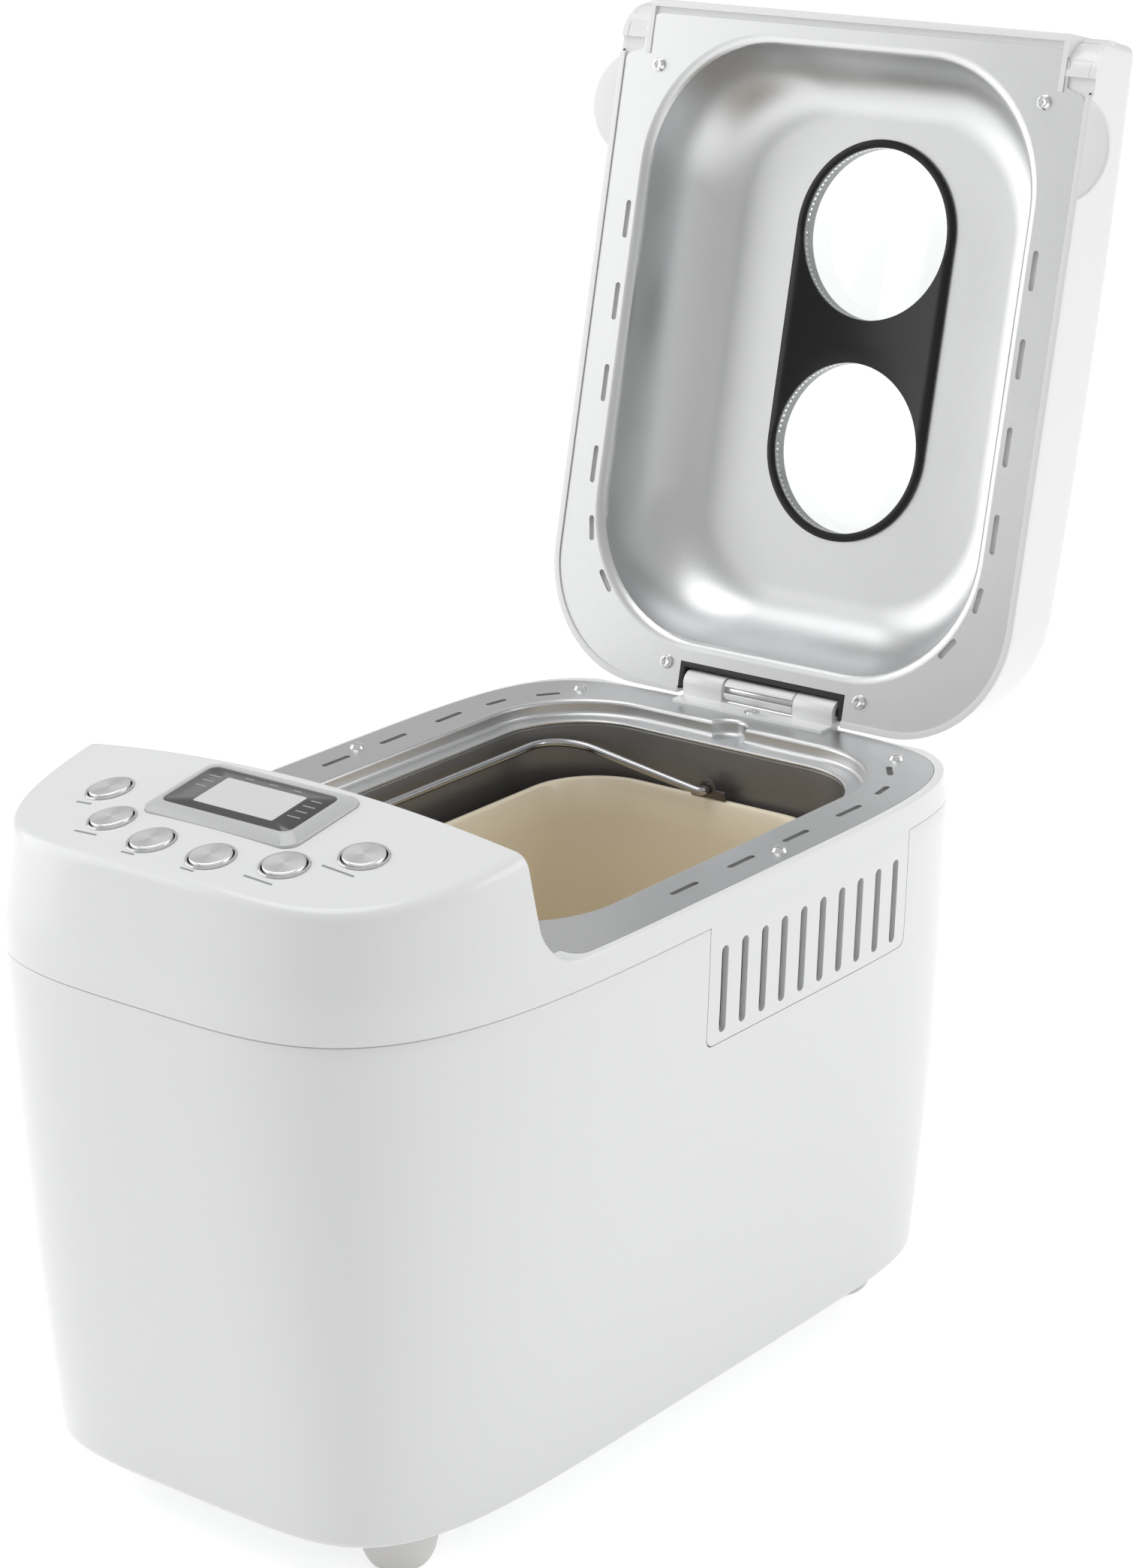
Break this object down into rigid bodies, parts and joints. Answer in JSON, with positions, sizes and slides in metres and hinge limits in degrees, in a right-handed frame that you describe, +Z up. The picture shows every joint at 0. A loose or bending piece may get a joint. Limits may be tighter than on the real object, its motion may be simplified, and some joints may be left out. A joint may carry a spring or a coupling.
{
  "type": "bread machine",
  "caption": "Bread machine with an open hinged lid with round windows, a lift-out pan with a wire handle, kneading paddles, and a sloping panel with buttons and a display.",
  "frame": {"origin": "on the worktop, under the middle of the body", "axes": "+X to the right seen from the control panel, +Y to the rear where the lid is hinged, +Z up"},
  "size_m": [0.264, 0.4972, 0.5271],
  "materials": {
    "housing": "glossy",
    "zinc_plate": "satin",
    "foot_plastic": "matt",
    "screw_steel": "polished",
    "satin_steel": "satin",
    "oven_coating": "satin",
    "heater_steel": "oxidised",
    "bush_bronze": "satin",
    "motor_case": "satin",
    "shaft_steel": "polished",
    "pulley_plastic": "matt",
    "belt_rubber": "matt",
    "circuit_board": "satin",
    "lcd": "glossy",
    "display_glass": "glossy",
    "button_metal": "spun",
    "black_plastic": "satin",
    "pan_coating": "satin",
    "wire_steel": "polished",
    "paddle_coating": "satin",
    "window_plastic": "glossy",
    "clear_glass": "clear",
    "gasket_rubber": "matt"
  },
  "bodies": {
    "base": {"lower_housing": "housing", "upper_housing": "housing", "base_plate": "zinc_plate", "feet": "foot_plastic", "base_screws": "screw_steel", "top_flange": "satin_steel", "flange_screws": "screw_steel", "oven_chamber": "oven_coating", "heat_shield": "zinc_plate", "chamber_posts": "zinc_plate", "heating_element": "heater_steel", "heater_clips": "zinc_plate", "temperature_sensor": "screw_steel", "chassis_frame": "zinc_plate", "shaft_bushes": "bush_bronze", "motor": "motor_case", "drive_belt": "belt_rubber", "control_board": "circuit_board", "lcd_module": "lcd", "power_board": "circuit_board", "display_frame": "housing", "display_window": "display_glass", "button_rings": "button_metal", "cord_inlet": "black_plastic", "pan_socket": "zinc_plate", "hinge_block": "housing", "hinge_pin": "shaft_steel", "hinge_screws": "screw_steel"},
    "lid": {"lid_shell": "housing", "lid_liner": "satin_steel", "window_bezel": "black_plastic", "window_tubes": "window_plastic", "window_glass": "clear_glass", "outer_window": "clear_glass", "lid_screws": "screw_steel", "hinge_gasket": "gasket_rubber", "lid_knuckle": "housing"},
    "pan": {"bread_pan": "pan_coating", "pan_base_ring": "zinc_plate", "pan_lugs": "oven_coating", "pan_bushes": "bush_bronze"},
    "handle": {"pan_handle": "wire_steel"},
    "front_drive": {"front_drive_shaft": "shaft_steel", "front_drive_pulley": "pulley_plastic"},
    "front_paddle_drive": {"front_paddle_shaft": "shaft_steel"},
    "front_paddle_body": {"front_paddle": "paddle_coating"},
    "rear_drive": {"rear_drive_shaft": "shaft_steel", "rear_drive_pulley": "pulley_plastic"},
    "rear_paddle_drive": {"rear_paddle_shaft": "shaft_steel"},
    "rear_paddle_body": {"rear_paddle": "paddle_coating"},
    "motor_rotor": {"motor_shaft": "shaft_steel", "motor_pulley": "pulley_plastic"},
    "menu_key": {"menu_button": "button_metal"},
    "weight_key": {"weight_button": "button_metal"},
    "time_down_key": {"time_down_button": "button_metal"},
    "time_up_key": {"time_up_button": "button_metal"},
    "crust_key": {"crust_button": "button_metal"},
    "start_stop_key": {"start_stop_button": "button_metal"}
  },
  "joints": [
    {"name": "lid_hinge", "type": "hinge", "parent": "base", "child": "lid", "pos_m": [0, 0.19025, 0.2445], "axis": [-1, 0, 0], "range_deg": [-104, 0]},
    {"name": "pan_lift", "type": "slide", "parent": "base", "child": "pan", "axis": [0, 0, 1], "range_m": [0, 0.19]},
    {"name": "bail_swing", "type": "hinge", "parent": "pan", "child": "handle", "pos_m": [0, 0.04375, 0.214], "axis": [0, 1, 0], "range_deg": [0, 164]},
    {"name": "menu_press", "type": "slide", "parent": "base", "child": "menu_key", "axis": [0.0799, 0.1671, -0.9827], "range_m": [0, 0.0008], "stiffness_N_per_m": 250, "springref_m": -0.0004},
    {"name": "weight_press", "type": "slide", "parent": "base", "child": "weight_key", "axis": [0.0541, 0.1674, -0.9844], "range_m": [0, 0.0008], "stiffness_N_per_m": 250, "springref_m": -0.0004},
    {"name": "time_down_press", "type": "slide", "parent": "base", "child": "time_down_key", "axis": [0.0186, 0.1676, -0.9857], "range_m": [0, 0.0008], "stiffness_N_per_m": 250, "springref_m": -0.0004},
    {"name": "time_up_press", "type": "slide", "parent": "base", "child": "time_up_key", "axis": [-0.0186, 0.1676, -0.9857], "range_m": [0, 0.0008], "stiffness_N_per_m": 250, "springref_m": -0.0004},
    {"name": "crust_press", "type": "slide", "parent": "base", "child": "crust_key", "axis": [-0.0541, 0.1674, -0.9844], "range_m": [0, 0.0008], "stiffness_N_per_m": 250, "springref_m": -0.0004},
    {"name": "start_stop_press", "type": "slide", "parent": "base", "child": "start_stop_key", "axis": [-0.0799, 0.1671, -0.9827], "range_m": [0, 0.0008], "stiffness_N_per_m": 250, "springref_m": -0.0004},
    {"name": "rear_drive_spin", "type": "hinge", "parent": "base", "child": "rear_drive", "pos_m": [0, 0.09375, 0.036], "axis": [0, 0, 1], "continuous": true},
    {"name": "front_drive_spin", "type": "hinge", "parent": "base", "child": "front_drive", "pos_m": [0, -0.00625, 0.036], "axis": [0, 0, 1], "continuous": true},
    {"name": "motor_spin", "type": "hinge", "parent": "base", "child": "motor_rotor", "pos_m": [0, -0.122, 0.036], "axis": [0, 0, 1], "continuous": true},
    {"name": "front_paddle_spin", "type": "hinge", "parent": "pan", "child": "front_paddle_drive", "pos_m": [0, -0.00625, 0.07], "axis": [0, 0, 1], "continuous": true},
    {"name": "rear_paddle_spin", "type": "hinge", "parent": "pan", "child": "rear_paddle_drive", "pos_m": [0, 0.09375, 0.07], "axis": [0, 0, 1], "continuous": true},
    {"name": "front_paddle_lift", "type": "slide", "parent": "front_paddle_drive", "child": "front_paddle_body", "axis": [0, 0, 1], "range_m": [0, 0.04]},
    {"name": "rear_paddle_lift", "type": "slide", "parent": "rear_paddle_drive", "child": "rear_paddle_body", "axis": [0, 0, 1], "range_m": [0, 0.04]}
  ],
  "couplings": [
    {"joint": "front_drive_spin", "follows": "rear_drive_spin", "ratio": 1},
    {"joint": "motor_spin", "follows": "rear_drive_spin", "ratio": 4},
    {"joint": "front_paddle_spin", "follows": "rear_drive_spin", "ratio": 1},
    {"joint": "rear_paddle_spin", "follows": "rear_drive_spin", "ratio": 1}
  ]
}
